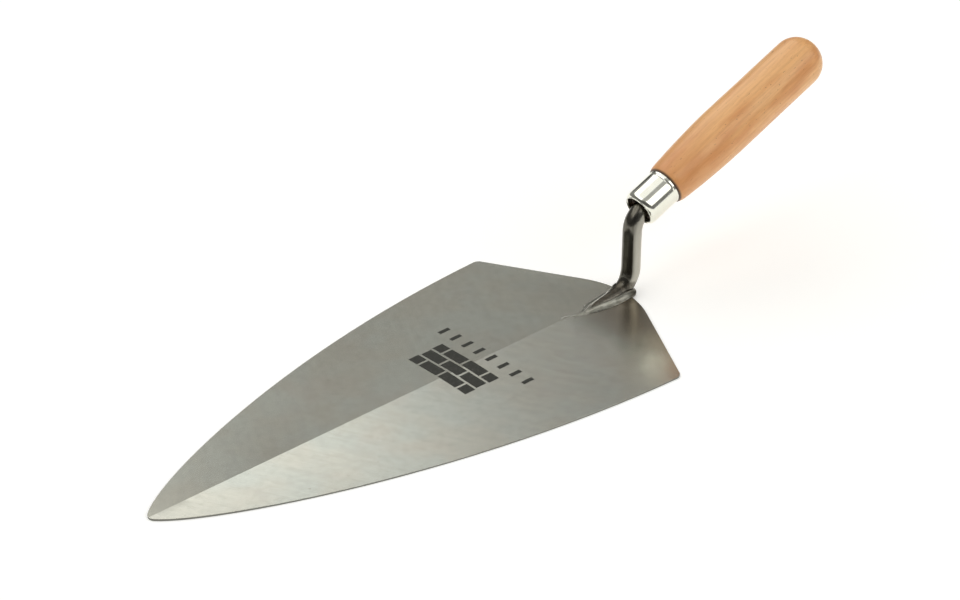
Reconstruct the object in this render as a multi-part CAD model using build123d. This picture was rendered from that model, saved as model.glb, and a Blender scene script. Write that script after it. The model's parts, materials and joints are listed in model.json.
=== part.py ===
from build123d import *
import math
import os

# Brick trowel, wide-heel pattern: a ground steel blade, a forged shank welded on its spine,
# a plated ferrule and a turned beech handle. Millimetres and degrees.
#
# Frame: +X from the blade's tip towards the handle's butt, +Y across the blade, +Z up.
# The origin is on the blade's flat underside, on the centre line, between the two heel corners.
# The pieces are laid out with x = 0 on the upright part of the shank; main() moves them to the frame.

# ---------------------------------------------------------------- driving dimensions
BLADE_LENGTH = 275.9  # tip to the middle of the heel, the 11 inch size
BLADE_WIDTH = 140.0  # across the two heel corners before they are rounded, 5 1/2 inches
HEEL_SETBACK = 5.1  # from the shank's centre line forward to the middle of the heel

TIP_RADIUS = 3.5
TIP_HALF_ANGLE = 46.1  # between the centre line and the edge where it leaves the tip's arc
HEEL_EDGE_ANGLE = 2.5  # the same angle at the heel corner
TIP_PULL = 24.4  # how far each end's direction carries into the curved edge
HEEL_PULL = 126.3
HEEL_SWEEP = 28.2  # each half of the heel leans forward by this angle
HEEL_APEX_RADIUS = 46.0
CORNER_RADIUS = 4.0
EDGE_BREAK = 0.12  # the small bevel left by the last pass on the belt

SPINE_AT_TIP = 1.15  # blade thickness along the spine, where the two ground facets meet
SPINE_AT_HEEL = 2.3
EDGE_AT_CORNER = 0.9  # blade thickness at the heel corners

SHANK_DIAMETER = 8.5
LOWER_BEND_RADIUS = 13.0  # from the foot up into the upright part
LOWER_BEND_HEIGHT = 13.7  # height at which the shank is upright
LOWER_BEND_SWEEP = 62.0  # the part of the bend that is still round bar
UPPER_BEND_RADIUS = 13.0  # from the upright part into the handle
HANDLE_PITCH = 22.2  # the handle rises by this angle
HANDLE_LINE_HEIGHT = 41.4  # height at which the handle's axis crosses the shank's centre line

FOOT_LENGTH = 31.0  # the foot reaches this far forward of the shank's centre line
FOOT_TOE_WIDTH = 2.4
FOOT_TOE_HEIGHT = 0.9
FOOT_STATIONS = (0.3, 0.65, 1.0)  # shares of the foot's length at which its section is set
FOOT_TAPER = 0.8  # 1 would taper the foot evenly, and less keeps it full for longer
FOOT_SHIFT = 1.5  # the foot was laid this far to the right of the spine
WELD_ROOT = 1.2  # the weld goes this far down behind the heel, under the shank
SPIKE_LENGTH = 76.0  # the part of the tang that is hidden inside the handle
SPIKE_END_DIAMETER = 4.6
SPIKE_POINT = 4.0  # length of the spike's blunt point
SPIKE_POINT_DIAMETER = 1.6

FERRULE_SETBACK = 4.0  # along the handle's axis, from above the shank to the ferrule's front
FERRULE_LENGTH = 18.6
FERRULE_DIAMETER = 18.2
FERRULE_WALL = 0.8
FERRULE_MOUTH_DIAMETER = 15.2
FERRULE_SHOULDER_RADIUS = 3.2  # the front is drawn in along this arc until it reaches the mouth
RIM_FLARE = 0.18  # the rear rim swells by this much where it was turned back
RIM_LENGTH = 1.3

HANDLE_LENGTH = 127.2  # ferrule front to butt
HANDLE_FRONT_DIAMETER = 21.0
HANDLE_DIAMETER = 25.6
SWELL_LENGTH = 42.0  # from the shoulder behind the ferrule to the full diameter
SWELL_ANGLE = 5.5  # how steeply the swell starts
FRONT_ROUND = 0.9
BUTT_CORNER_RADIUS = 12.0
BUTT_CROWN_RADIUS = 14.5
MOUTH_RELIEF_DIAMETER = 11.4  # the bore is opened out here so that the bend can enter
MOUTH_RELIEF_DEPTH = 5.0
BORE_SPARE = 3.0  # empty bore beyond the spike's point

# ---------------------------------------------------------------- derived sizes
HALF_WIDTH = BLADE_WIDTH / 2
HEEL_X = -HEEL_SETBACK
TIP_X = HEEL_X - BLADE_LENGTH
SWEEP = math.radians(HEEL_SWEEP)
APEX_X = HEEL_X + HEEL_APEX_RADIUS * (1 / math.cos(SWEEP) - 1)  # before its corner is rounded
CORNER_X = APEX_X - HALF_WIDTH * math.tan(SWEEP)
SPINE_SLOPE = (SPINE_AT_HEEL - SPINE_AT_TIP) / BLADE_LENGTH
SHANK_RADIUS = SHANK_DIAMETER / 2
PITCH = math.radians(HANDLE_PITCH)
UPPER_BEND_SWEEP = 90.0 - HANDLE_PITCH
# The upper bend touches the upright line and the handle's axis this far from where they cross.
UPPER_BEND_TANGENT = UPPER_BEND_RADIUS * (1 - math.sin(PITCH)) / math.cos(PITCH)
UPPER_BEND_HEIGHT = HANDLE_LINE_HEIGHT - UPPER_BEND_TANGENT
SPIKE_START = UPPER_BEND_TANGENT - FERRULE_SETBACK  # measured from the ferrule's front
SHOULDER_DROP = (FERRULE_DIAMETER - FERRULE_MOUTH_DIAMETER) / 2
SHOULDER_ANGLE = math.acos(1 - SHOULDER_DROP / FERRULE_SHOULDER_RADIUS)
SHOULDER_LENGTH = FERRULE_SHOULDER_RADIUS * math.sin(SHOULDER_ANGLE)


def spine_height(x):
    """Height of the crease between the two facets."""
    return SPINE_AT_TIP + SPINE_SLOPE * (x - TIP_X)


FACET_SLOPE = (spine_height(CORNER_X) - EDGE_AT_CORNER) / HALF_WIDTH


def polar(angle, length):
    """An offset of this length in the direction of angle, in degrees from +X."""
    return Vector(math.cos(math.radians(angle)), math.sin(math.radians(angle))) * length


def handle_location():
    """Where the ferrule's front centre is, with local +X along the handle's axis."""
    x = FERRULE_SETBACK * math.cos(PITCH)
    z = HANDLE_LINE_HEIGHT + FERRULE_SETBACK * math.sin(PITCH)
    return Location((x, 0, z), (0, -HANDLE_PITCH, 0))


def turned(*edges):
    """A body of revolution about local X from the edges of its half section, drawn in x and radius."""
    half_section = Plane.XZ * make_face(edges)
    return revolve(half_section, Axis.X)


# ---------------------------------------------------------------- blade
def blade_outline():
    """The plan of the blade: a round tip, two curved edges and a swept heel."""
    tip_centre = Vector(TIP_X + TIP_RADIUS, 0)
    edge_start = tip_centre + polar(90 + TIP_HALF_ANGLE, TIP_RADIUS)
    corner = Vector(CORNER_X, HALF_WIDTH)
    near_tip = edge_start + polar(TIP_HALF_ANGLE, TIP_PULL)
    near_heel = corner - polar(HEEL_EDGE_ANGLE, HEEL_PULL)
    edge = Bezier(edge_start, near_tip, near_heel, corner)
    heel = Line(corner, (APEX_X, 0))
    tip = ThreePointArc(edge_start, (TIP_X, 0), (edge_start.X, -edge_start.Y))
    outline = make_face([tip, edge, heel, mirror(edge, Plane.XZ), mirror(heel, Plane.XZ)])
    apex = outline.vertices().sort_by(Axis.X)[-1]
    outline = fillet(apex, HEEL_APEX_RADIUS)
    corners = outline.vertices().sort_by(Axis.Y)
    return fillet([corners[0], corners[-1]], CORNER_RADIUS)


def facet_roof(x_end):
    """Everything under the two ground facets, from in front of the tip to x_end."""
    reach = BLADE_WIDTH
    x_start = TIP_X - TIP_RADIUS
    crest = spine_height(x_start)
    eaves = crest - FACET_SLOPE * reach
    slopes = [(-reach, eaves), (0, crest), (reach, eaves)]
    section = Polyline(*slopes, (reach, -reach), (-reach, -reach), close=True)
    front = Plane(origin=(x_start, 0, 0), x_dir=(0, 1, 0), z_dir=(1, 0, 0))
    slanted_run = (x_end - x_start) * math.hypot(1, SPINE_SLOPE)
    return extrude(front * make_face(section), amount=slanted_run, dir=(1, 0, SPINE_SLOPE))


def make_blade():
    """A flat-bottomed plate with two facets ground on top that meet at the spine."""
    plate = extrude(blade_outline(), 2 * SPINE_AT_HEEL)  # thicker than the finished blade
    ground = plate & facet_roof(HEEL_X + HEEL_APEX_RADIUS)
    underside = ground.faces().sort_by(Axis.Z)[0]
    return chamfer(underside.edges(), EDGE_BREAK)


# ---------------------------------------------------------------- shank
def make_bar():
    """The round bar, from the foot through both bends to the handle's axis."""
    lower_centre = (-LOWER_BEND_RADIUS, LOWER_BEND_HEIGHT)
    lower = CenterArc(lower_centre, LOWER_BEND_RADIUS, -LOWER_BEND_SWEEP, LOWER_BEND_SWEEP)
    upright = Line((0, LOWER_BEND_HEIGHT), (0, UPPER_BEND_HEIGHT))
    upper_centre = (UPPER_BEND_RADIUS, UPPER_BEND_HEIGHT)
    upper = CenterArc(upper_centre, UPPER_BEND_RADIUS, 180, -UPPER_BEND_SWEEP)
    path = Plane.XZ * Wire([lower, upright, upper])
    section = Plane(origin=path @ 0, z_dir=path % 0) * Circle(SHANK_RADIUS)
    return sweep(section, path)


def make_foot():
    """The drawn-down foot: round where it leaves the bar, then lower and narrower towards the toe."""
    angle = math.radians(LOWER_BEND_SWEEP)
    start_x = -LOWER_BEND_RADIUS * (1 - math.cos(angle))
    start = Vector(start_x, 0, LOWER_BEND_HEIGHT - LOWER_BEND_RADIUS * math.sin(angle))
    heel_end = Plane(origin=start, x_dir=(0, 1, 0), z_dir=(-math.sin(angle), 0, -math.cos(angle)))
    sections = [heel_end * Ellipse(SHANK_RADIUS, SHANK_RADIUS)]
    for share in FOOT_STATIONS:
        x = start_x - (FOOT_LENGTH + start_x) * share
        fall = (1 - share) ** FOOT_TAPER
        half_width = FOOT_TOE_WIDTH / 2 + (SHANK_RADIUS - FOOT_TOE_WIDTH / 2) * fall
        half_height = FOOT_TOE_HEIGHT + (SHANK_RADIUS - FOOT_TOE_HEIGHT) * fall
        level = Plane(origin=(x, -FOOT_SHIFT, spine_height(x)), x_dir=(0, 1, 0), z_dir=(-1, 0, 0))
        sections.append(level * Ellipse(half_width, half_height))
    return loft(sections)


def make_spike():
    """The tapered spike on the handle's axis, driven into the wood."""
    start = SPIKE_START
    end = start + SPIKE_LENGTH
    shoulder = (end - SPIKE_POINT, SPIKE_END_DIAMETER / 2)
    point = (end, SPIKE_POINT_DIAMETER / 2)
    outline = Polyline((start, 0), (start, SHANK_RADIUS), shoulder, point, (end, 0), close=True)
    return handle_location() * turned(outline)


def make_shank():
    """The forged tang in one piece: tapered foot, round bar with two bends, and the hidden spike."""
    below_foot = facet_roof(SHANK_DIAMETER)
    return make_bar() + make_foot() + make_spike() - below_foot


# ---------------------------------------------------------------- weld
# The dressed weld at stations along the blade. Each row holds the distance x, then four places across
# the blade: the run-out and the crest on the right, and the crest and the run-out on the left. A crest is
# given with its height above the spine. The weld was ground by hand, so the two sides differ.
WELD_STATIONS = (
    (-46.0, -3.2, (-2.0, 0.10), (-0.6, 0.12), 0.8),
    (-37.0, -4.4, (-2.8, 0.55), (-1.6, 0.8), 1.4),
    (-30.0, -5.6, (-3.3, 1.1), (-1.6, 1.8), 2.3),
    (-22.0, -7.0, (-4.3, 1.8), (-0.6, 2.9), 3.6),
    (-14.0, -7.8, (-5.4, 2.4), (0.7, 3.7), 4.7),
    (-7.0, -7.2, (-5.2, 2.7), (3.2, 3.9), 4.7),
    (-2.5, -6.0, (-4.4, 2.0), (3.2, 2.3), 4.0),
    (0.6, -3.5, (-2.6, 0.5), (2.0, 0.5), 2.5),
)
FLANK_HOLLOW = 0.16  # how far a flank or the top is ground hollow, as a share of its width


def hollow_arc(start, end):
    """An arc between two points of a section that sags towards the blade."""
    start, end = Vector(*start), Vector(*end)
    middle = (start + end) / 2 - Vector(0, 1) * (end - start).length * FLANK_HOLLOW
    return ThreePointArc(start, middle, end)


def weld_section(x, right_base, right_crest, left_crest, left_base):
    """One section across the weld, standing on the spine and rooted beside it."""
    level = Plane(origin=(x, 0, spine_height(min(x, HEEL_X))), x_dir=(0, 1, 0), z_dir=(1, 0, 0))
    right_flank = hollow_arc((right_base, 0), right_crest)
    top = hollow_arc(right_crest, left_crest)
    left_flank = hollow_arc(left_crest, (left_base, 0))
    root = Polyline((left_base, 0), (left_base, -WELD_ROOT), (right_base, -WELD_ROOT), (right_base, 0))
    return level * make_face([right_flank, top, left_flank, root])


def make_weld(blade, shank):
    """The weld around the foot, ground down to clean flanks that run out on the blade."""
    bead = loft([weld_section(*station) for station in WELD_STATIONS])
    return bead - blade - shank


# ---------------------------------------------------------------- ferrule and handle
def make_ferrule():
    """A drawn cup: a thin tube whose front is drawn in to an open mouth, with a flared rear rim."""
    outside = FERRULE_DIAMETER / 2
    inside = outside - FERRULE_WALL
    outer_radius = FERRULE_SHOULDER_RADIUS
    inner_radius = outer_radius - FERRULE_WALL
    shoulder_start = Vector(SHOULDER_LENGTH, outside)
    inner_shoulder_start = Vector(SHOULDER_LENGTH, inside)
    arc_centre = shoulder_start - (0, outer_radius)
    to_mouth = polar(90 + math.degrees(SHOULDER_ANGLE), 1)
    outer_lip = arc_centre + to_mouth * outer_radius
    inner_lip = arc_centre + to_mouth * inner_radius
    rim_start = (FERRULE_LENGTH - RIM_LENGTH, outside)
    rim_edge = (FERRULE_LENGTH, outside + RIM_FLARE)
    rear = (FERRULE_LENGTH, inside)
    return handle_location() * turned(
        RadiusArc(outer_lip, shoulder_start, outer_radius),
        Polyline(shoulder_start, rim_start, rim_edge, rear, inner_shoulder_start),
        RadiusArc(inner_shoulder_start, inner_lip, -inner_radius),
        Line(inner_lip, outer_lip),
    )


def handle_profile():
    """The half section of the turned handle, from the spigot's front to the butt."""
    spigot = FERRULE_DIAMETER / 2 - FERRULE_WALL
    spigot_front = SHOULDER_LENGTH
    front = HANDLE_FRONT_DIAMETER / 2
    full = HANDLE_DIAMETER / 2
    body_start = (FERRULE_LENGTH + FRONT_ROUND, front)
    swell_end = (FERRULE_LENGTH + SWELL_LENGTH, full)
    # The corner arc touches the full diameter, and the crown arc is centred on the axis.
    crown_centre = HANDLE_LENGTH - BUTT_CROWN_RADIUS
    inset = full - BUTT_CORNER_RADIUS
    corner_x = crown_centre + math.sqrt((BUTT_CROWN_RADIUS - BUTT_CORNER_RADIUS) ** 2 - inset**2)
    turn = math.degrees(math.atan2(inset, corner_x - crown_centre))
    meet = Vector(crown_centre, 0) + polar(turn, BUTT_CROWN_RADIUS)
    return [
        Line((spigot_front, 0), (spigot_front, spigot)),
        Line((spigot_front, spigot), (FERRULE_LENGTH, spigot)),
        Line((FERRULE_LENGTH, spigot), (FERRULE_LENGTH, front - FRONT_ROUND)),
        RadiusArc((FERRULE_LENGTH, front - FRONT_ROUND), body_start, FRONT_ROUND),
        Spline(body_start, swell_end, tangents=[polar(SWELL_ANGLE, 1), (1, 0)]),
        Line(swell_end, (corner_x, full)),
        RadiusArc((corner_x, full), meet, BUTT_CORNER_RADIUS),
        RadiusArc(meet, (HANDLE_LENGTH, 0), BUTT_CROWN_RADIUS),
        Line((HANDLE_LENGTH, 0), (spigot_front, 0)),
    ]


def hole(start, end, diameter):
    """A cylinder about local X from start to end, to be bored out of the handle."""
    radius = diameter / 2
    return turned(Polyline((start, 0), (start, radius), (end, radius), (end, 0), close=True))


def make_handle(shank):
    """Turned beech with a spigot for the ferrule and a bore for the spike."""
    spike_end = SPIKE_START + SPIKE_LENGTH
    relief_depth = SHOULDER_LENGTH + MOUTH_RELIEF_DEPTH
    relief = hole(0, relief_depth, MOUTH_RELIEF_DIAMETER)
    pilot = hole(spike_end - SPIKE_POINT, spike_end + BORE_SPARE, SPIKE_END_DIAMETER)
    return handle_location() * (turned(*handle_profile()) - relief - pilot) - shank


def main():
    """Writes one STEP per piece."""
    to_frame = Pos(-CORNER_X, 0, 0)
    blade = make_blade()
    shank = make_shank()
    pieces = {
        "blade": blade,
        "shank": shank,
        "weld_bead": make_weld(blade, shank),
        "ferrule": make_ferrule(),
        "handle": make_handle(shank),
    }
    os.makedirs("parts", exist_ok=True)
    for name, piece in pieces.items():
        export_step(to_frame * piece, f"parts/{name}.step")


main()
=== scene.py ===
import json
import math

import bmesh
import bpy
import numpy as np
from mathutils import Matrix, Vector, noise
from mathutils.bvhtree import BVHTree


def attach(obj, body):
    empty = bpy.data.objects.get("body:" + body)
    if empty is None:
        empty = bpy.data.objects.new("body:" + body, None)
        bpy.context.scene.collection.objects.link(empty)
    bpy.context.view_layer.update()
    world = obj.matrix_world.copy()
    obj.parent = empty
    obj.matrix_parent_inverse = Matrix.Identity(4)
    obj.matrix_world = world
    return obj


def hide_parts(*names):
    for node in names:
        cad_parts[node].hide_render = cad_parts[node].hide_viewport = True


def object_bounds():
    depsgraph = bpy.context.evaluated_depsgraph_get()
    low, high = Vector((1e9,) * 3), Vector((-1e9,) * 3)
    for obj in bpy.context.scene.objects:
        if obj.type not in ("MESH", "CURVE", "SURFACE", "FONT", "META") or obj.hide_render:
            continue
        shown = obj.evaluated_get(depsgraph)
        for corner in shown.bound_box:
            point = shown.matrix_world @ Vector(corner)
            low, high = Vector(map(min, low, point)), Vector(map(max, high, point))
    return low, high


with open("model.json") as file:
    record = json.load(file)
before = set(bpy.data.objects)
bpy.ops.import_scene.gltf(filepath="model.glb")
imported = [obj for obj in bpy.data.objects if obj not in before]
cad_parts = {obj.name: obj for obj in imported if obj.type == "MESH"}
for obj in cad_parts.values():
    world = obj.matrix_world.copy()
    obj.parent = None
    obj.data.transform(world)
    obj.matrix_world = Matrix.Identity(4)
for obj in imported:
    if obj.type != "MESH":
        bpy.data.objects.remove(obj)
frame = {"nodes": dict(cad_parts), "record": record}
cad_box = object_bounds()
MM = 0.001

# ---------------------------------------------------------------- camera and studio
CAMERA_TARGET = Vector((-22.8, 41.9, 0.0)) * MM  # where the optical axis meets the floor
CAMERA_AZIMUTH = -41.644  # degrees from -Y
CAMERA_ELEVATION = 30.786
CAMERA_DISTANCE = 1194.5 * MM
CAMERA_LENS = 93.75
SENSOR_WIDTH = 36.0

FLOOR_HALF = 6.0
FLOOR_GAP = 0.02 * MM  # the floor lies this far under the blade
FLOOR_TONE = (0.84, 0.84, 0.825, 1)
FLOOR_GLOW = 0.40

# The studio's light comes from overhead, down to a soft edge. Round the horizon, the edge's height, the
# strength of the dim room below it and the edge's softness all change. Angles are in degrees, and azimuth
# runs from +X towards +Y.
ROOM = [  # azimuth, edge height, dim strength, softness
    (-180, 34, 0.12, 5.0),
    (-130, 48, 0.08, 5.0),
    (-75, 19, 0.16, 2.0),
    (-30, 22, 0.25, 3.0),
    (20, 80, 0.03, 2.0),
    (40, 58, 0.15, 2.0),
    (45, 44, 0.28, 2.0),
    (51, 35.2, 0.35, 2.0),
    (58, 38, 0.05, 2.0),
    (68, 20, 0.05, 2.0),
    (75, 33, 0.30, 2.0),
    (84, 33, 0.26, 2.0),
    (180, 34, 0.12, 5.0),
]
LIGHT_COLOUR = (1.0, 0.995, 0.975, 1)
LIGHT_STRENGTH = 1.8
# Two panels overhead leave a dimmer gap along X, between these slopes of Y over Z.
PANEL_GAP = (-0.70, -0.20)
GAP_SOFTNESS = 0.05
GAP_STRENGTH = 0.42
# The middle of the ceiling is dimmer, with a change over these elevations in degrees.
ZENITH_ELEVATIONS = (56, 70)
ZENITH_STRENGTH = 1.1
HORIZON_HEIGHT = 0.05  # slopes aren't followed below this height over the horizon
RIGHT_ANGLE = 90


def link(obj):
    """Adds an object to the scene."""
    bpy.context.scene.collection.objects.link(obj)
    return obj


def make_camera():
    """The camera, set by the point it looks at, its distance and two angles."""
    azimuth = math.radians(CAMERA_AZIMUTH)
    elevation = math.radians(CAMERA_ELEVATION)
    level = math.cos(elevation)
    back = Vector((math.sin(azimuth) * level, -math.cos(azimuth) * level, math.sin(elevation)))
    camera = link(bpy.data.objects.new("camera", bpy.data.cameras.new("camera")))
    camera.location = CAMERA_TARGET + back * CAMERA_DISTANCE
    camera.rotation_euler = back.to_track_quat("Z", "Y").to_euler()
    camera.data.sensor_width = SENSOR_WIDTH
    camera.data.lens = CAMERA_LENS
    bpy.context.scene.camera = camera


# ---------------------------------------------------------------- node trees
COLOUR_MIX_INPUTS = (0, 6, 7)  # the share and the two colours among the Mix node's inputs
COLOUR_MIX_OUTPUT = 2


class Look:
    """A node tree under construction. Each call adds a node and returns the socket that it gives."""

    def __init__(self, owner):
        owner.use_nodes = True
        self.tree = owner.node_tree
        self.nodes = self.tree.nodes

    def add(self, kind, inputs, output=0, **settings):
        """Adds a node, sets or links its inputs by name or number, and returns one output."""
        node = self.nodes.new("ShaderNode" + kind)
        for key, value in settings.items():
            setattr(node, key, value)
        for key, value in inputs.items():
            self.feed(node.inputs[key], value)
        return node.outputs[output]

    def feed(self, socket, value):
        """Links value to the socket if it is one, and otherwise sets it."""
        if isinstance(value, bpy.types.NodeSocket):
            self.tree.links.new(value, socket)
        else:
            socket.default_value = value

    def math(self, operation, first, second=0.0):
        """One arithmetic step on one or two values."""
        return self.add("Math", {0: first, 1: second}, operation=operation)

    def noise(self, vector, wavelength, detail=3.0, roughness=0.5):
        """Noise of about this wavelength, from 0 to 1, where vector is in millimetres."""
        inputs = {"Vector": vector, "Scale": 1 / wavelength, "Detail": detail, "Roughness": roughness}
        return self.add("TexNoise", inputs)

    def stretched(self, vector, angle, along, across, up=1.0):
        """The vector turned by angle about Z, then squeezed so that a pattern is drawn out along X."""
        rotation = {"Vector": vector, "Angle": math.radians(-angle)}
        turned = self.add("VectorRotate", rotation, rotation_type="Z_AXIS")
        return self.add("Mapping", {"Vector": turned, "Scale": (1 / along, 1 / across, 1 / up)})

    def ramp(self, value, low, high, start=0.0, end=1.0, smooth=True):
        """start up to low, end from high on, and a steady or smooth change between them."""
        inputs = {"Value": value, "From Min": low, "From Max": high, "To Min": start, "To Max": end}
        shape = "SMOOTHSTEP" if smooth else "LINEAR"
        return self.add("MapRange", inputs, interpolation_type=shape)

    def mix(self, share, first, second):
        """A mix of two colours: the first at a share of 0, and the second at 1."""
        node = self.nodes.new("ShaderNodeMix")
        node.data_type = "RGBA"
        for number, value in zip(COLOUR_MIX_INPUTS, (share, first, second)):
            self.feed(node.inputs[number], value)
        return node.outputs[COLOUR_MIX_OUTPUT]

    def bump(self, height, distance):
        """A normal that follows a height, where a height of 1 stands for distance in metres."""
        return self.add("Bump", {"Height": height, "Distance": distance, "Strength": 1.0})

    def normal(self):
        """The direction that the surface faces, without its bumps."""
        return self.add("TexCoord", {}, output="Normal")

    def millimetres(self):
        """The object's own coordinates, in millimetres."""
        place = self.add("TexCoord", {}, output="Object")
        return self.add("Mapping", {"Vector": place, "Scale": (1000, 1000, 1000)})

    def parts(self, vector):
        """The x, y and z of a vector."""
        node = self.nodes.new("ShaderNodeSeparateXYZ")
        self.feed(node.inputs[0], vector)
        return node.outputs[0], node.outputs[1], node.outputs[2]

    def surface(self, **inputs):
        """Sets the material's surface inputs, with _ for a space in their names."""
        shader = self.nodes["Principled BSDF"]
        for key, value in inputs.items():
            self.feed(shader.inputs[key.replace("_", " ")], value)


def new_look(name):
    """A new material and the Look that builds it."""
    material = bpy.data.materials.new(name)
    return material, Look(material)


def grey(value):
    """A colour without hue."""
    return (value, value, value, 1)


def make_floor():
    """A plain pale floor under the blade."""
    mesh = bpy.data.meshes.new("floor")
    half = FLOOR_HALF
    corners = [(-half, -half, 0), (half, -half, 0), (half, half, 0), (-half, half, 0)]
    mesh.from_pydata(corners, [], [(0, 1, 2, 3)])
    floor = link(bpy.data.objects.new("floor", mesh))
    floor.location.z = cad_box[0][2] - FLOOR_GAP
    material, look = new_look("floor")
    look.surface(Base_Color=FLOOR_TONE, Roughness=0.9, Specular_IOR_Level=0.1)
    look.surface(Emission_Color=FLOOR_TONE, Emission_Strength=FLOOR_GLOW)
    mesh.materials.append(material)


def room_profile(look, turn):
    """The ceiling's edge, the dim room's strength and the edge's softness at this azimuth."""
    room = look.nodes.new("ShaderNodeValToRGB")
    look.feed(room.inputs[0], look.ramp(turn, -180, 180, smooth=False))
    stops = room.color_ramp.elements
    colours = [(edge / RIGHT_ANGLE, dim, softness / RIGHT_ANGLE, 1) for azimuth, edge, dim, softness in ROOM]
    stops[0].color = colours[0]
    stops[1].color = colours[-1]
    for row, colour in zip(ROOM[1:-1], colours[1:-1]):
        stops.new((row[0] + 180) / 360).color = colour
    return look.parts(room.outputs[0])


def ceiling_strength(look, y, z, elevation):
    """The strength of the overhead panels, with the gap between them and the dimmer middle."""
    slope = look.math("DIVIDE", y, look.math("MAXIMUM", z, HORIZON_HEIGHT))
    low, high = PANEL_GAP
    past_low = look.ramp(slope, low - GAP_SOFTNESS, low + GAP_SOFTNESS)
    before_high = look.ramp(slope, high + GAP_SOFTNESS, high - GAP_SOFTNESS)
    gap = look.math("MULTIPLY", past_low, before_high)
    panels = look.ramp(gap, 0, 1, LIGHT_STRENGTH, GAP_STRENGTH, smooth=False)
    middle = look.ramp(elevation, *ZENITH_ELEVATIONS, LIGHT_STRENGTH, ZENITH_STRENGTH)
    return look.math("MINIMUM", panels, middle)


def make_studio():
    """Soft light from overhead panels in a dimmer room."""
    world = bpy.data.worlds.new("studio")
    look = Look(world)
    x, y, z = look.parts(look.add("TexCoord", {}, output="Generated"))
    elevation = look.math("MULTIPLY", look.math("ARCSINE", z), 180 / math.pi)
    azimuth = look.math("MULTIPLY", look.math("ARCTAN2", y, x), 180 / math.pi)
    edge, dim, softness = room_profile(look, azimuth)
    above = look.math("SUBTRACT", look.math("DIVIDE", elevation, RIGHT_ANGLE), edge)
    lit = look.ramp(look.math("DIVIDE", above, softness), -1, 1)
    strength = look.add("Mix", {0: lit, 2: dim, 3: ceiling_strength(look, y, z, elevation)})
    background = look.nodes["Background"]
    look.feed(background.inputs["Color"], LIGHT_COLOUR)
    look.feed(background.inputs["Strength"], strength)
    bpy.context.scene.world = world
    bpy.context.scene.view_settings.view_transform = "Standard"


# ---------------------------------------------------------------- printed mark, sizes in millimetres
MARK_CENTRE = (-74.0, 2.5)  # a plain printed mark across the spine
BRICK_LENGTH = 13.2
COURSE_HEIGHT = 7.2
MARK_SIZE = (3 * COURSE_HEIGHT, 3 * BRICK_LENGTH)
MARK_START = (MARK_CENTRE[0] - MARK_SIZE[0] / 2, MARK_CENTRE[1] - MARK_SIZE[1] / 2)
JOINT = 1.3
DASH_ROW = (-55.5, 1.5)  # a row of plain dashes beside it
DASH_ROW_LENGTH = 66.0
DASH_PITCH = 8.25
DASH_SIZE = (6.4, 2.4)
DASH_SOFTNESS = 0.1
PRINT_SOFTNESS = 0.12


def rectangle(look, x, y, centre, size):
    """1 inside a rectangle in x and y, and 0 outside it."""
    depths = []
    for value, middle, width in zip((x, y), centre, size):
        distance = look.math("ABSOLUTE", look.math("SUBTRACT", value, middle))
        depths.append(look.math("SUBTRACT", width / 2, distance))
    return look.ramp(look.math("MINIMUM", *depths), -PRINT_SOFTNESS, PRINT_SOFTNESS)


def brickwork(look, x, y):
    """A rectangular panel of bricks whose courses run across the blade."""
    along = look.math("SUBTRACT", x, MARK_START[0])
    across = look.math("SUBTRACT", y, MARK_START[1])
    swapped = look.add("CombineXYZ", {0: across, 1: along})
    bricks = {"Vector": swapped, "Scale": 1.0, "Mortar Size": JOINT / 2, "Mortar Smooth": 0.2,
              "Brick Width": BRICK_LENGTH, "Row Height": COURSE_HEIGHT}
    joints = look.add("TexBrick", bricks, output="Fac")
    panel = rectangle(look, x, y, MARK_CENTRE, MARK_SIZE)
    return look.math("MULTIPLY", panel, look.math("SUBTRACT", 1.0, joints))


def dash_row(look, x, y):
    """A row of equal dashes across the blade."""
    row = rectangle(look, x, y, DASH_ROW, (DASH_SIZE[0], DASH_ROW_LENGTH))
    start = DASH_ROW[1] - DASH_ROW_LENGTH / 2
    across = look.math("PINGPONG", look.math("SUBTRACT", y, start), DASH_PITCH / 2)
    edge = (DASH_PITCH - DASH_SIZE[1]) / 2
    return look.math("MULTIPLY", row, look.ramp(across, edge - DASH_SOFTNESS, edge + DASH_SOFTNESS))


def printed_mark(look, x, y, place):
    """A generic mark of bricks and dashes, a little worn. 1 where there is ink."""
    ink = look.math("MAXIMUM", brickwork(look, x, y), dash_row(look, x, y))
    worn = look.ramp(look.noise(place, 0.5), 0.25, 0.42, 0.72, 1.0)
    return look.math("MULTIPLY", ink, worn)


# ---------------------------------------------------------------- materials
GRIND_ANGLE = 62.0  # the grinding lines fan out from the spine by this angle, towards the heel
BLADE_WARM = (0.685, 0.680, 0.595, 1)
BLADE_COOL = (0.660, 0.685, 0.618, 1)
BLADE_STAIN = (0.675, 0.625, 0.545, 1)
STAIN_OFFSET = (60, 20, 5)  # keeps the second stain apart from the first
# painted shade: the left half of the blade is darkened to copy how it reflects the light
LEFT_HALF_PAINTED_SHADE = (0.26, 0.235, 0.165, 1)
BLADE_MOTTLE = (0.2, 0.2, 0.15, 1)
BLADE_SPECK = (0.26, 0.24, 0.20, 1)
HEEL_TARNISH_AND_SHADE = (0.33, 0.295, 0.24, 1)
RIM_PAINTED_SHADE = (0.13, 0.13, 0.115, 1)
INK = (0.020, 0.020, 0.014, 1)
INK_ROUGHNESS = 0.55


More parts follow.
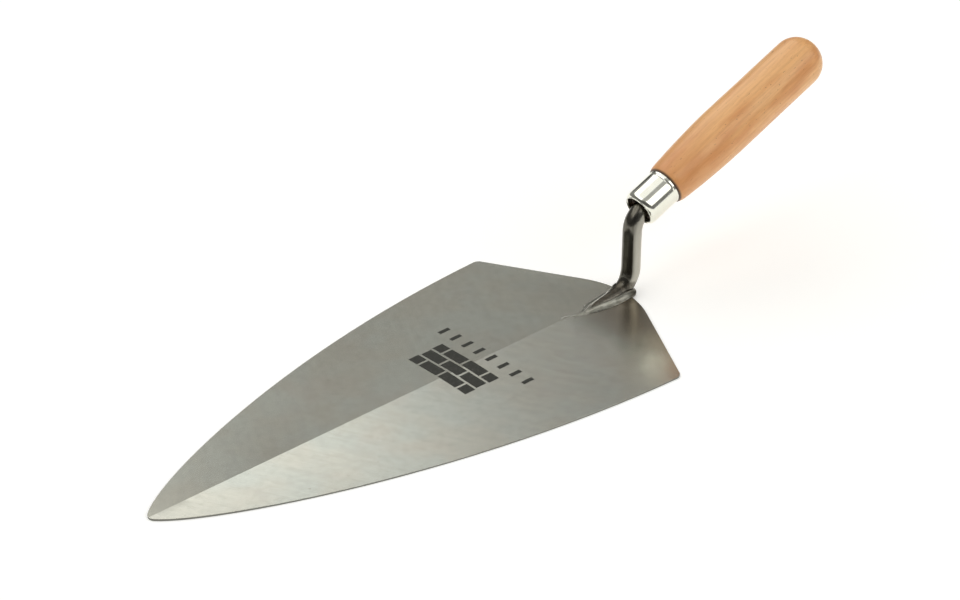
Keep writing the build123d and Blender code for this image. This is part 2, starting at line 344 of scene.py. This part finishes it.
def blade_tone(look, place, side, fine, broad, stain):
    """The blade's colour: stains, a left half darkened by painted shade, grinding lines, mottling, specks
    and a heel dulled partly by tarnish and partly by a painted dark reflection.
    """
    x = look.parts(place)[0]
    moved = look.add("Mapping", {"Vector": place, "Location": STAIN_OFFSET})
    second_stain = look.noise(moved, 30.0, detail=3)
    mottle = look.noise(place, 3.5, detail=3, roughness=0.6)
    specks = look.ramp(look.noise(place, 1.3, detail=2), 0.69, 0.74, 0.0, 0.3)
    tone = look.mix(look.ramp(stain, 0.38, 0.62), BLADE_WARM, BLADE_COOL)
    tone = look.mix(look.ramp(second_stain, 0.5, 0.72, 0, 0.35), tone, BLADE_STAIN)
    # painted shade on the left half
    tone = look.mix(look.math("MULTIPLY", side, 0.22), tone, LEFT_HALF_PAINTED_SHADE)
    tone = look.mix(look.ramp(fine, 0.3, 0.7, 0.0, 0.05), tone, grey(0.25))
    tone = look.mix(look.ramp(broad, 0.35, 0.65, 0.0, 0.05), tone, grey(0.3))
    tone = look.mix(look.ramp(mottle, 0.35, 0.7, 0.0, 0.08), tone, BLADE_MOTTLE)
    tone = look.mix(specks, tone, BLADE_SPECK)
    # the heel is darkened, most on the right half: partly brown tarnish, partly a painted dark reflection of
    # the handle and shank
    heel = look.ramp(look.math("ADD", x, look.math("MULTIPLY", stain, 30.0)), 0.0, 35.0)
    heel = look.math("MULTIPLY", heel, look.ramp(side, 0, 1, 1.0, 0.12))
    return look.mix(heel, tone, HEEL_TARNISH_AND_SHADE)


def blade_steel():
    """Belt-ground steel: fine lines that fan out from the spine, soft stains and a printed mark."""
    material, look = new_look("blade_steel")
    place = look.millimetres()
    x, y = look.parts(place)[:2]
    side = look.ramp(y, -0.3, 0.3)  # 0 on the right half, 1 on the left half
    mirrored = look.add("CombineXYZ", {0: x, 1: look.math("ABSOLUTE", y), 2: side})
    fine = look.noise(look.stretched(mirrored, GRIND_ANGLE, 40, 1.0), 1.0, detail=3, roughness=0.6)
    broad = look.noise(look.stretched(mirrored, GRIND_ANGLE, 60, 3.5), 1.0, detail=2)
    stain = look.noise(place, 42.0, detail=2, roughness=0.6)
    tone = blade_tone(look, place, side, fine, broad, stain)
    facing_up = look.parts(look.normal())[2]
    # painted shade: faces that turn away from the top, the rim's bevels and side walls, are darkened
    tone = look.mix(look.ramp(facing_up, 0.5, 0.2, 0.0, 0.88), tone, RIM_PAINTED_SHADE)
    ink = look.math("MULTIPLY", printed_mark(look, x, y, place), look.ramp(facing_up, 0.8, 0.9))
    tone = look.mix(ink, tone, INK)
    grind = look.ramp(look.math("ADD", fine, stain), 0.7, 1.3, -0.01, 0.01)
    roughness = look.math("ADD", look.ramp(x, -90.0, 20.0, 0.225, 0.25), grind)
    roughness = look.math("MAXIMUM", roughness, look.math("MULTIPLY", ink, INK_ROUGHNESS))
    metallic = look.math("SUBTRACT", 1.0, look.math("MULTIPLY", ink, 0.9))
    normal = look.bump(look.math("ADD", broad, ink), 0.002 * MM)
    look.surface(Base_Color=tone, Metallic=metallic, Roughness=roughness, Normal=normal)
    return material


def corner_shaded(look, tone, shade_tone, reach):
    """The tone darkened by painted shade in the corners that are within reach of another surface."""
    openness = look.add("AmbientOcclusion", {"Distance": reach * MM}, output="AO", samples=8)
    return look.mix(look.ramp(openness, 0.35, 0.9, 0.9, 0.0), tone, shade_tone)


def ridge_highlight(look, tone, bright, share):
    """The tone with a painted highlight along ridges, by a share."""
    ridge = look.add("NewGeometry", {}, output="Pointiness")
    return look.mix(look.math("MULTIPLY", look.ramp(ridge, 0.505, 0.545, 0.0, 0.85), share), tone, bright)


PAINTED_LIGHT_SIDE = (0.75, -0.66, 0.0)  # the bar shows bare steel on this side, the camera's right, as a painted highlight, and keeps its scale on the other
SCALE_DARK = (0.100, 0.092, 0.072, 1)
SCALE_RUBBED = (0.15, 0.142, 0.120, 1)
BARE_STEEL_HIGHLIGHT = (0.44, 0.425, 0.37, 1)
BROWN_FLECK = (0.17, 0.15, 0.12, 1)
BLACK_SCALE = (0.06, 0.05, 0.036, 1)
FOOT_CORNER_SHADE = (0.02, 0.015, 0.01, 1)
FOOT_RIDGE_HIGHLIGHT = (0.80, 0.78, 0.71, 1)
FOOT_TOP = (12.0, 9.0)  # the heights between which the bar's finish gives way to the foot's


def forged_steel():
    """A smooth bar with a trace of forge scale, black and rough at the foot where it wasn't dressed, a
    painted highlight of bright steel down one side, painted shade in its corners and a painted highlight
    along the foot's ridges.
    """
    material, look = new_look("forged_steel")
    place = look.millimetres()
    y, z = look.parts(place)[1:]
    streaks = look.noise(look.add("Mapping", {"Vector": place, "Scale": (1, 1, 0.12)}), 1.1, detail=4)
    patches = look.noise(place, 4.5, detail=4, roughness=0.6)
    scale = look.noise(place, 0.55, detail=3, roughness=0.7)
    rubbed = look.ramp(look.math("ADD", streaks, patches), 0.80, 1.2)
    directions = {0: look.normal(), 1: PAINTED_LIGHT_SIDE}
    facing = look.add("VectorMath", directions, output="Value", operation="DOT_PRODUCT")
    # painted highlight: bright steel on the side towards the camera's right, less of it towards the top
    bare = look.ramp(look.math("ADD", facing, look.math("MULTIPLY", streaks, 0.2)), 0.0, 0.62)
    bare = look.math("MULTIPLY", bare, look.ramp(z, 55.0, 20.0, 0.45, 1.0))
    tone = look.mix(rubbed, SCALE_DARK, SCALE_RUBBED)
    tone = look.mix(bare, tone, BARE_STEEL_HIGHLIGHT)
    tone = look.mix(look.ramp(scale, 0.60, 0.72, 0, 0.4), tone, BROWN_FLECK)
    foot = look.ramp(look.math("ADD", z, look.math("MULTIPLY", patches, 6.0)), *FOOT_TOP)
    blackened = look.math("MULTIPLY", foot, look.ramp(scale, 0.3, 0.6, 0.9, 0.6))
    tone = look.mix(blackened, tone, BLACK_SCALE)
    # painted shade in the bar's corners
    tone = corner_shaded(look, tone, FOOT_CORNER_SHADE, 2.0)
    # painted highlight along the foot's ridges on the left side
    left_side = look.ramp(y, -0.5, 1.5)
    tone = ridge_highlight(look, tone, FOOT_RIDGE_HIGHLIGHT, look.math("MULTIPLY", foot, left_side))
    roughness = look.math("ADD", look.ramp(rubbed, 0, 1, 0.24, 0.18), look.math("MULTIPLY", foot, 0.15))
    height = look.math("ADD", look.math("MULTIPLY", patches, 2.0), look.math("ADD", scale, streaks))
    normal = look.bump(look.math("MULTIPLY", height, look.ramp(foot, 0, 1, 0.3, 1.6)), 0.02 * MM)
    look.surface(Base_Color=tone, Metallic=0.97, Roughness=roughness, Normal=normal)
    return material


WELD_DARK = (0.25, 0.245, 0.205, 1)
WELD_PALE = (0.31, 0.305, 0.26, 1)
WELD_CORNER_SHADE = (0.03, 0.025, 0.018, 1)
WELD_CREST_HIGHLIGHT = (0.88, 0.86, 0.79, 1)
WELD_HEEL = (0.09, 0.08, 0.06, 1)


def weld_steel():
    """Weld metal: dressed smooth on the right, with a painted highlight along the crest on the left, painted
    shade in its corners and pits along the toe.
    """
    material, look = new_look("weld_steel")
    place = look.millimetres()
    x, y = look.parts(place)[:2]
    grind = look.noise(look.stretched(place, -15, 6, 0.5, 0.5), 1.0, detail=4, roughness=0.6)
    patches = look.noise(place, 3.0, detail=3)
    pits = look.ramp(look.noise(place, 1.1, detail=2), 0.62, 0.68)
    dressed = look.ramp(y, -0.5, -2.5)
    tone = look.mix(look.ramp(patches, 0.35, 0.65), WELD_DARK, WELD_PALE)
    tone = look.mix(look.ramp(grind, 0.35, 0.7, 0, 0.2), tone, grey(0.18))
    # painted shade in the weld's corners
    tone = corner_shaded(look, tone, WELD_CORNER_SHADE, 1.0)
    # painted highlight along the crest on the left
    tone = ridge_highlight(look, tone, WELD_CREST_HIGHLIGHT, look.math("SUBTRACT", 1.0, dressed))
    pits = look.math("MULTIPLY", pits, look.ramp(dressed, 0, 1, 0.85, 0.3))
    tone = look.mix(pits, tone, BLACK_SCALE)
    tone = look.mix(look.ramp(x, 28.0, 33.0, 0.0, 0.7), tone, WELD_HEEL)
    roughness = look.ramp(grind, 0.3, 0.7, 0.30, 0.40)
    height = look.math("SUBTRACT", look.math("ADD", grind, patches), look.math("MULTIPLY", pits, 3.0))
    look.surface(Base_Color=tone, Metallic=1.0, Roughness=roughness, Normal=look.bump(height, 0.02 * MM))
    return material


NICKEL_WARM = (0.83, 0.825, 0.725, 1)
NICKEL_BRIGHT = (0.87, 0.865, 0.775, 1)


def ferrule_plating():
    """Bright nickel plating with fine scuffs round the tube."""
    material, look = new_look("ferrule_plating")
    place = look.millimetres()
    round_tube = look.add("Mapping", {"Vector": place, "Scale": (1, 0.1, 0.1)})
    scuffs = look.noise(round_tube, 0.35, detail=4, roughness=0.7)
    haze = look.noise(place, 5.0, detail=3)
    tone = look.mix(look.ramp(haze, 0.3, 0.7), NICKEL_WARM, NICKEL_BRIGHT)
    tone = look.mix(look.ramp(scuffs, 0.62, 0.75, 0, 0.3), tone, grey(0.55))
    roughness = look.ramp(look.math("ADD", haze, scuffs), 0.7, 1.3, 0.09, 0.17)
    look.surface(Base_Color=tone, Metallic=1.0, Roughness=roughness, Normal=look.bump(scuffs, 0.002 * MM))
    return material


BEECH_PALE = (0.91, 0.495, 0.20, 1)
BEECH_RED = (0.76, 0.335, 0.115, 1)
GRAIN_BROWN = (0.54, 0.245, 0.09, 1)
PORE_BROWN = (0.36, 0.14, 0.05, 1)
FLECK_BROWN = (0.20, 0.07, 0.03, 1)
FRONT_RED = (0.66, 0.26, 0.08, 1)
SEAM_PAINTED_SHADOW = (0.02, 0.012, 0.008, 1)
SEAM_END = 19.8  # painted shadow along the ferrule's rear edge ends here on the handle
SEAM_WIDTH = 1.2
RED_FRONT = (20.0, 65.0)  # the wood is redder at the first of these distances than at the second


def beech():
    """Lacquered beech: fine lengthwise grain, short dark flecks and warm drifts of colour."""
    material, look = new_look("beech")
    place = look.millimetres()
    drift = look.noise(look.stretched(place, 0, 38, 9, 9), 1.0, detail=3, roughness=0.55)
    grain = look.noise(look.stretched(place, 0, 30, 1.1, 1.1), 1.0, detail=5, roughness=0.65)
    pores = look.noise(look.stretched(place, 0, 4.5, 0.28, 0.28), 1.0, detail=2, roughness=0.6)
    flecks = look.ramp(look.noise(look.stretched(place, 0, 2.2, 0.7, 0.7), 1.0, detail=1), 0.71, 0.77)
    tone = look.mix(look.ramp(drift, 0.42, 0.68), BEECH_PALE, BEECH_RED)
    tone = look.mix(look.ramp(grain, 0.35, 0.7, 0, 0.33), tone, GRAIN_BROWN)
    tone = look.mix(look.ramp(pores, 0.58, 0.72, 0, 0.25), tone, PORE_BROWN)
    tone = look.mix(look.math("MULTIPLY", flecks, 0.55), tone, FLECK_BROWN)
    along = look.parts(place)[0]
    tone = look.mix(look.ramp(along, *RED_FRONT, 0.5, 0.0), tone, FRONT_RED)
    # painted shadow on the wood along the ferrule's rear edge
    seam_shadow = look.ramp(along, SEAM_END - SEAM_WIDTH, SEAM_END, 0.92, 0.0)
    tone = look.mix(seam_shadow, tone, SEAM_PAINTED_SHADOW)
    roughness = look.ramp(grain, 0.3, 0.7, 0.42, 0.52)
    height = look.math("ADD", grain, look.math("MULTIPLY", pores, 0.8))
    look.surface(Base_Color=tone, Roughness=roughness, Normal=look.bump(height, 0.012 * MM))
    look.surface(Coat_Weight=0.35, Coat_Roughness=0.22, Coat_IOR=1.45)
    return material


# ---------------------------------------------------------------- mesh helpers
def make_piece(name, node, mesh, material, place=Matrix.Identity(4)):
    """Puts a finished mesh in the scene in place of a CAD node."""
    for polygon in mesh.polygons:
        polygon.use_smooth = True
    mesh.materials.clear()
    mesh.materials.append(material)
    piece = link(bpy.data.objects.new(name, mesh))
    piece.matrix_world = place
    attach(piece, "root")
    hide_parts(node)


def roughen(mesh, layers, share=lambda point: 1.0, swell=0.0):
    """Moves each vertex along its normal by a swell and by noise layers of wavelength and height, in mm."""
    moves = []
    for vertex in mesh.vertices:
        point = vertex.co / MM
        amount = swell + sum(height * noise.noise(point / wavelength) for wavelength, height in layers)
        moves.append(vertex.normal * amount * MM * share(point))
    for vertex, move in zip(mesh.vertices, moves):
        vertex.co += move


def connected_parts(bm):
    """The groups of vertices that edges join."""
    seen = set()
    groups = []
    for start in bm.verts:
        if start in seen:
            continue
        seen.add(start)
        group = []
        waiting = [start]
        while waiting:
            vertex = waiting.pop()
            group.append(vertex)
            for edge in vertex.link_edges:
                other = edge.other_vert(vertex)
                if other not in seen:
                    seen.add(other)
                    waiting.append(other)
        groups.append(group)
    return groups


def drop_specks(mesh):
    """Keeps the largest connected part of a mesh, without the specks that remeshing leaves beside it."""
    bm = bmesh.new()
    bm.from_mesh(mesh)
    groups = connected_parts(bm)
    largest = max(groups, key=len)
    specks = [vertex for group in groups if group is not largest for vertex in group]
    bmesh.ops.delete(bm, geom=specks, context="VERTS")
    bm.to_mesh(mesh)
    bm.free()


def remeshed(node, voxel, smoothing):
    """A CAD node's shape in even faces of about this size, with its corners softened."""
    carrier = link(bpy.data.objects.new("carrier", frame["nodes"][node].data.copy()))
    remesh = carrier.modifiers.new("remesh", "REMESH")
    remesh.mode = "VOXEL"
    remesh.voxel_size = voxel * MM
    smooth = carrier.modifiers.new("smooth", "SMOOTH")
    smooth.factor = 0.5
    smooth.iterations = smoothing
    graph = bpy.context.evaluated_depsgraph_get()
    mesh = bpy.data.meshes.new_from_object(carrier.evaluated_get(graph))
    bpy.data.objects.remove(carrier)
    drop_specks(mesh)
    return mesh


# ---------------------------------------------------------------- blade, millimetres and degrees
SAME_POINT = 0.001  # vertices this close are one
FLAT_ANGLE = 0.3  # faces that meet at less than this become one
RIM_ANGLE = 60.0  # the rim's edges are sharper than this
RIM_BEVEL = 0.14
DICE_SPACING = 4.0
TOP_NORMAL = 0.9  # a face whose normal has more Z than this is part of the top
SHARP_ANGLE = 1.2
BLADE_WAVES = [(60.0, 0.04), (22.0, 0.008)]  # wavelength and height
HOLLOW = 0.13  # how far the grinding wheel hollowed each half, at half its width
HOLLOW_FULL_WIDTH = 40.0  # a half narrower than this is hollowed less


def hollow(x, y, outline):
    """How far the hollow grinding lowers the top at a point, from the outline's (x, half width) points."""
    width = np.interp(x, [point[0] for point in outline], [point[1] for point in outline])
    share = min(1.0, abs(y) / width) if width > 0 else 0.0
    return 4 * HOLLOW * share * (1 - share) * min(1.0, width / HOLLOW_FULL_WIDTH) ** 2


def dice(bm):
    """Cuts the mesh along X and Y into cells of about DICE_SPACING."""
    low, high = [Vector(corner) for corner in cad_box]
    for direction in (Vector((1, 0, 0)), Vector((0, 1, 0))):
        start, end = low.dot(direction), high.dot(direction)
        count = int((end - start) / (DICE_SPACING * MM))
        for step in range(1, count):
            cut = direction * (start + (end - start) * step / count)
            everything = bm.verts[:] + bm.edges[:] + bm.faces[:]
            bmesh.ops.bisect_plane(bm, geom=everything, plane_co=cut, plane_no=direction)


def make_blade():
    """The ground plate: small bevels round the rim, a crisp spine and a faintly wavy, hollow-ground top."""
    bm = bmesh.new()
    bm.from_mesh(frame["nodes"]["blade"].data)
    bmesh.ops.remove_doubles(bm, verts=bm.verts, dist=SAME_POINT * MM)
    bmesh.ops.dissolve_limit(bm, angle_limit=math.radians(FLAT_ANGLE), verts=bm.verts, edges=bm.edges)
    rim_angle = math.radians(RIM_ANGLE)
    rim = [edge for edge in bm.edges if edge.is_manifold and edge.calc_face_angle() > rim_angle]
    bmesh.ops.bevel(bm, geom=rim, offset=RIM_BEVEL * MM, segments=2, profile=0.5, affect="EDGES",
                    clamp_overlap=True)
    outline = sorted((vertex.co.x / MM, vertex.co.y / MM) for vertex in bm.verts if vertex.co.y > 0)
    dice(bm)
    for vertex in bm.verts:
        on_top = all(face.normal.z > TOP_NORMAL for face in vertex.link_faces)
        if on_top:
            point = vertex.co / MM
            waves = sum(height * noise.noise(point / wavelength) for wavelength, height in BLADE_WAVES)
            vertex.co.z += (waves - hollow(point.x, point.y, outline)) * MM
    mesh = bpy.data.meshes.new("blade")
    bm.to_mesh(mesh)
    bm.free()
    make_piece("blade_plate", "blade", mesh, blade_steel())
    mesh.set_sharp_from_angle(angle=math.radians(SHARP_ANGLE))


# ---------------------------------------------------------------- shank and weld, millimetres
SHANK_VOXEL = 0.3
SHANK_SMOOTHING = 12
BAR_LUMPS = [(9.0, 0.06), (3.0, 0.02)]  # wavelength and height
BAR_SWELL = 0.42  # the open bar is this much fuller all round than the CAD bar after its smoothing
BAR_START = 6.0  # the bar's finish starts at this height and is complete BAR_RISE above it
BAR_RISE = 5.0
BAR_END = 46.0  # it is gone at this height, from BAR_FALL below it
BAR_FALL = 6.0
FOOT_LUMPS = [(2.2, 0.12), (0.9, 0.06)]
FOOT_END = 9.0  # the foot's lumps are gone at this height, from FOOT_FALL below it
FOOT_FALL = 4.0


def clamped(value):
    """The value, held between 0 and 1."""
    return min(1.0, max(0.0, value))


def open_bar(point):
    """1 on the part of the bar between the foot and the ferrule, fading to 0 at both ends."""
    return clamped((point.z - BAR_START) / BAR_RISE) * clamped((BAR_END - point.z) / BAR_FALL)


def low_foot(point):
    """1 on the foot, fading to 0 where the bar rises."""
    return clamped((FOOT_END - point.z) / FOOT_FALL)


def make_shank():
    """The bent bar, with low hammer lumps and a rougher foot."""
    mesh = remeshed("shank", SHANK_VOXEL, SHANK_SMOOTHING)
    roughen(mesh, BAR_LUMPS, share=open_bar, swell=BAR_SWELL)
    roughen(mesh, FOOT_LUMPS, share=low_foot)
    make_piece("forged_shank", "shank", mesh, forged_steel())


WELD_VOXEL = 0.2
WELD_SMOOTHING = 2
WELD_RIPPLES = [(2.5, 0.10), (0.8, 0.04)]
TAIL_START = 6.0  # from here to TAIL_END along X, the weld sinks by up to TAIL_SINK
TAIL_END = -9.6
TAIL_SINK = 0.9


def make_weld():
    """The dressed bead, whose tail runs out into the blade's spine."""
    mesh = remeshed("weld_bead", WELD_VOXEL, WELD_SMOOTHING)
    roughen(mesh, WELD_RIPPLES)
    for vertex in mesh.vertices:
        share = (TAIL_START - vertex.co.x / MM) / (TAIL_START - TAIL_END)
        vertex.co.z -= TAIL_SINK * MM * clamped(share)
    make_piece("ground_weld", "weld_bead", mesh, weld_steel())


# ---------------------------------------------------------------- turned parts, millimetres
RING_SEGMENTS = 160
ROUNDING_STEPS = 6
OUTSIDE_REACH = 40.0  # farther from the axis than any turned part
ON_AXIS = 1e-6


def handle_frame():
    """The matrix that puts local X on the handle's axis, with its origin at the ferrule's front."""
    grip = next(mount for mount in frame["record"]["mounts"] if mount["name"] == "grip")
    along = Vector(grip["axis"]).normalized()
    across = Vector((0, 1, 0))
    up = along.cross(across)
    middle = Vector(grip["pos_m"])
    front = min((vertex.co - middle).dot(along) for vertex in frame["nodes"]["ferrule"].data.vertices)
    turn = Matrix((along, across, up)).transposed().to_4x4()
    return Matrix.Translation(middle + along * front) @ turn


def local_points(node, to_local):
    """A CAD node's points in the handle's frame, in millimetres."""
    return np.array([to_local @ vertex.co for vertex in frame["nodes"][node].data.vertices]) / MM


def outer_radius(tree, to_world, distance):
    """The radius of a turned CAD part at a distance along its axis, in millimetres."""
    start = to_world @ (Vector((distance, OUTSIDE_REACH, 0)) * MM)
    inwards = to_world.to_3x3() @ Vector((0, -1, 0))
    hit = tree.ray_cast(start, inwards)
    return OUTSIDE_REACH - hit[3] / MM if hit[0] else 0.0


def rounded(corners):
    """A profile with its corners rounded. Each corner is (x, radius, rounding)."""
    points = []
    count = len(corners)
    for index, (x, r, rounding) in enumerate(corners):
        here = Vector((x, r))
        if rounding == 0:
            points.append(here)
            continue
        before = (Vector(corners[index - 1][:2]) - here).normalized()
        after = (Vector(corners[(index + 1) % count][:2]) - here).normalized()
        half = before.angle(after) / 2
        reach = rounding / math.tan(half)
        centre = here + (before + after).normalized() * rounding / math.sin(half)
        first, last = here + before * reach - centre, here + after * reach - centre
        sweep = math.pi - 2 * half
        for step in range(ROUNDING_STEPS + 1):
            turned = sweep * step / ROUNDING_STEPS
            mixed = first * math.sin(sweep - turned) + last * math.sin(turned)
            points.append(centre + mixed / math.sin(sweep))
    return points


def lathe(name, profile, ring_closed):
    """A mesh turned about local X from a profile of (x, radius) in millimetres."""
    bm = bmesh.new()
    angles = [2 * math.pi * step / RING_SEGMENTS for step in range(RING_SEGMENTS)]
    rings = []
    for x, radius in profile:
        if radius < ON_AXIS:
            ring = [Vector((x, 0, 0))]
        else:
            ring = [Vector((x, radius * math.cos(angle), radius * math.sin(angle))) for angle in angles]
        rings.append([bm.verts.new(point * MM) for point in ring])
    pairs = list(zip(rings, rings[1:]))
    if ring_closed:
        pairs.append((rings[-1], rings[0]))
    for one, other in pairs:
        for step in range(RING_SEGMENTS):
            following = (step + 1) % RING_SEGMENTS
            if len(one) == 1:
                bm.faces.new((one[0], other[following], other[step]))
            elif len(other) == 1:
                bm.faces.new((one[step], one[following], other[0]))
            else:
                bm.faces.new((one[step], one[following], other[following], other[step]))
    bmesh.ops.recalc_face_normals(bm, faces=bm.faces)
    mesh = bpy.data.meshes.new(name)
    bm.to_mesh(mesh)
    bm.free()
    return mesh


WALL = 0.8
MOUTH_RADIUS = 7.6
MOUTH_EDGE = 0.4  # the mouth's inner edge is this much narrower
LIP_LENGTH = 0.6
LIP_ROUNDING = 0.25
SHOULDER_LENGTH = 0.94
SHOULDER_ROUNDING = 3.4
INNER_SHOULDER_SETBACK = 1.2
INNER_SHOULDER_ROUNDING = 1.6
GROOVE_LENGTH = 0.9
GROOVE_DEPTH = 0.16
GROOVE_ROUNDING = 0.15
BEAD_LENGTH = 1.5
BEAD_HEIGHT = 0.12
BEAD_RISE = 0.2
FERRULE_DENTS = [(11.0, 0.05), (5.0, 0.02)]  # wavelength and height


def make_ferrule(to_world):
    """The plated cup: a rounded lip at the mouth, a drawn-in shoulder and a small bead at the rear."""
    points = local_points("ferrule", to_world.inverted())
    length = points[:, 0].max()
    rim = np.hypot(points[:, 1], points[:, 2]).max()
    outside = rim - BEAD_HEIGHT
    inside = outside - WALL
    bead = length - BEAD_LENGTH
    profile = rounded([
        (0.0, MOUTH_RADIUS, LIP_ROUNDING),
        (SHOULDER_LENGTH, outside, SHOULDER_ROUNDING),
        (bead - GROOVE_LENGTH, outside, GROOVE_ROUNDING),
        (bead - GROOVE_LENGTH / 2, outside - GROOVE_DEPTH, GROOVE_ROUNDING),
        (bead, outside, 0.1),
        (bead + BEAD_RISE, rim, 0.25),
        (length, rim, 0.35),
        (length, inside, 0.2),
        (SHOULDER_LENGTH + INNER_SHOULDER_SETBACK, inside, INNER_SHOULDER_ROUNDING),
        (LIP_LENGTH, MOUTH_RADIUS - MOUTH_EDGE, LIP_ROUNDING),
    ])
    mesh = lathe("ferrule", profile, ring_closed=True)
    roughen(mesh, FERRULE_DENTS)
    make_piece("plated_ferrule", "ferrule", mesh, ferrule_plating(), to_world)


HANDLE_STEPS = 180
PROFILE_SMOOTHING = 4  # passes that even out the facets of the CAD mesh
HANDLE_GAP = 0.01  # between the ferrule's rear edge and the wood
RELIEF_RADIUS = 5.7
RELIEF_END = 8.0
TURNED_WAVES = [(30.0, 0.12), (9.0, 0.03)]
WAVE_RISE = 5.0  # the waviness is complete this far behind the ferrule


def grip_profile(to_world, start, end):
    """The turned handle's outside as points of distance and radius, closer together towards the butt."""
    tree = BVHTree.FromObject(frame["nodes"]["handle"], bpy.context.evaluated_depsgraph_get())
    points = []
    for step in range(HANDLE_STEPS + 1):
        distance = start + (end - start) * math.sin(math.pi / 2 * step / HANDLE_STEPS)
        points.append(Vector((distance, outer_radius(tree, to_world, distance))))
    points[-1].y = 0.0
    for _ in range(PROFILE_SMOOTHING):
        points[1:-1] = [(a + b * 2 + c) / 4 for a, b, c in zip(points, points[1:], points[2:])]
    return points


def make_handle(to_world):
    """The turned handle, with its spigot in the ferrule and a faint turner's waviness."""
    ferrule = local_points("ferrule", to_world.inverted())
    ferrule_end = ferrule[:, 0].max()
    points = local_points("handle", to_world.inverted())
    spigot_front, butt = points[:, 0].min(), points[:, 0].max()
    spigot = np.hypot(ferrule[:, 1], ferrule[:, 2]).max() - BEAD_HEIGHT - WALL
    inner = [
        (RELIEF_END, 0),
        (RELIEF_END, RELIEF_RADIUS),
        (spigot_front, RELIEF_RADIUS),
        (spigot_front, spigot),
        (ferrule_end, spigot),
    ]
    outer = grip_profile(to_world, ferrule_end + HANDLE_GAP, butt)
    mesh = lathe("handle", [Vector(point) for point in inner] + outer, ring_closed=False)
    roughen(mesh, TURNED_WAVES, share=lambda point: clamped((point.x - ferrule_end) / WAVE_RISE))
    make_piece("turned_handle", "handle", mesh, beech(), to_world)


make_camera()
make_floor()
make_studio()
axis_frame = handle_frame()
make_blade()
make_shank()
make_weld()
make_ferrule(axis_frame)
make_handle(axis_frame)
